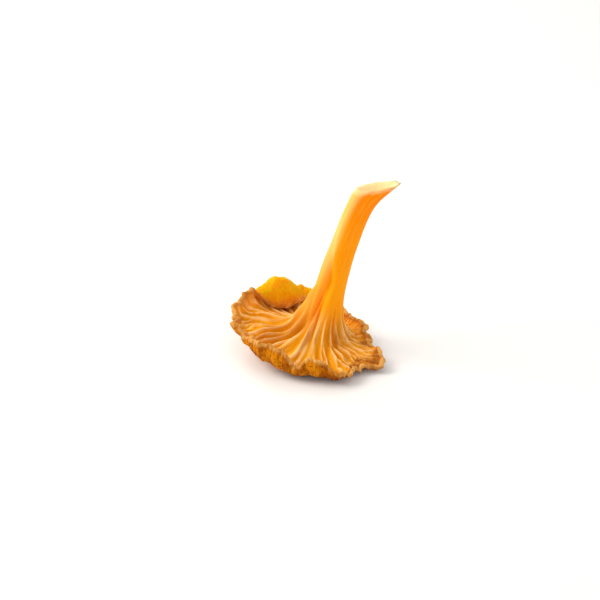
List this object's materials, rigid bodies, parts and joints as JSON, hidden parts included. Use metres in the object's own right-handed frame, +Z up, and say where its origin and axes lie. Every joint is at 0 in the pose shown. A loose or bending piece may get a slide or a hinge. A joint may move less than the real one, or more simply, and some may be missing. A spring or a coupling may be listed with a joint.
{
  "type": "winter chanterelle mushroom",
  "caption": "Picked mushroom resting upside down on its wavy cap, with forking ridges that run down from a slender stem with a torn, hooked end.",
  "frame": {"origin": "on the ground, below the middle of the mushroom's outline, inside the mouth of the hollow in its crown", "axes": "+Z up from the crown of the cap towards the torn end of the stem, +X the way the stem leans, to the right in the picture, +Y away from the camera"},
  "size_m": [0.0516, 0.0452, 0.0558],
  "materials": {
    "mushroom_flesh": "satin, moist and slightly translucent orange flesh"
  },
  "bodies": {
    "root": {"winter_chanterelle": "mushroom_flesh"}
  },
  "joints": []
}
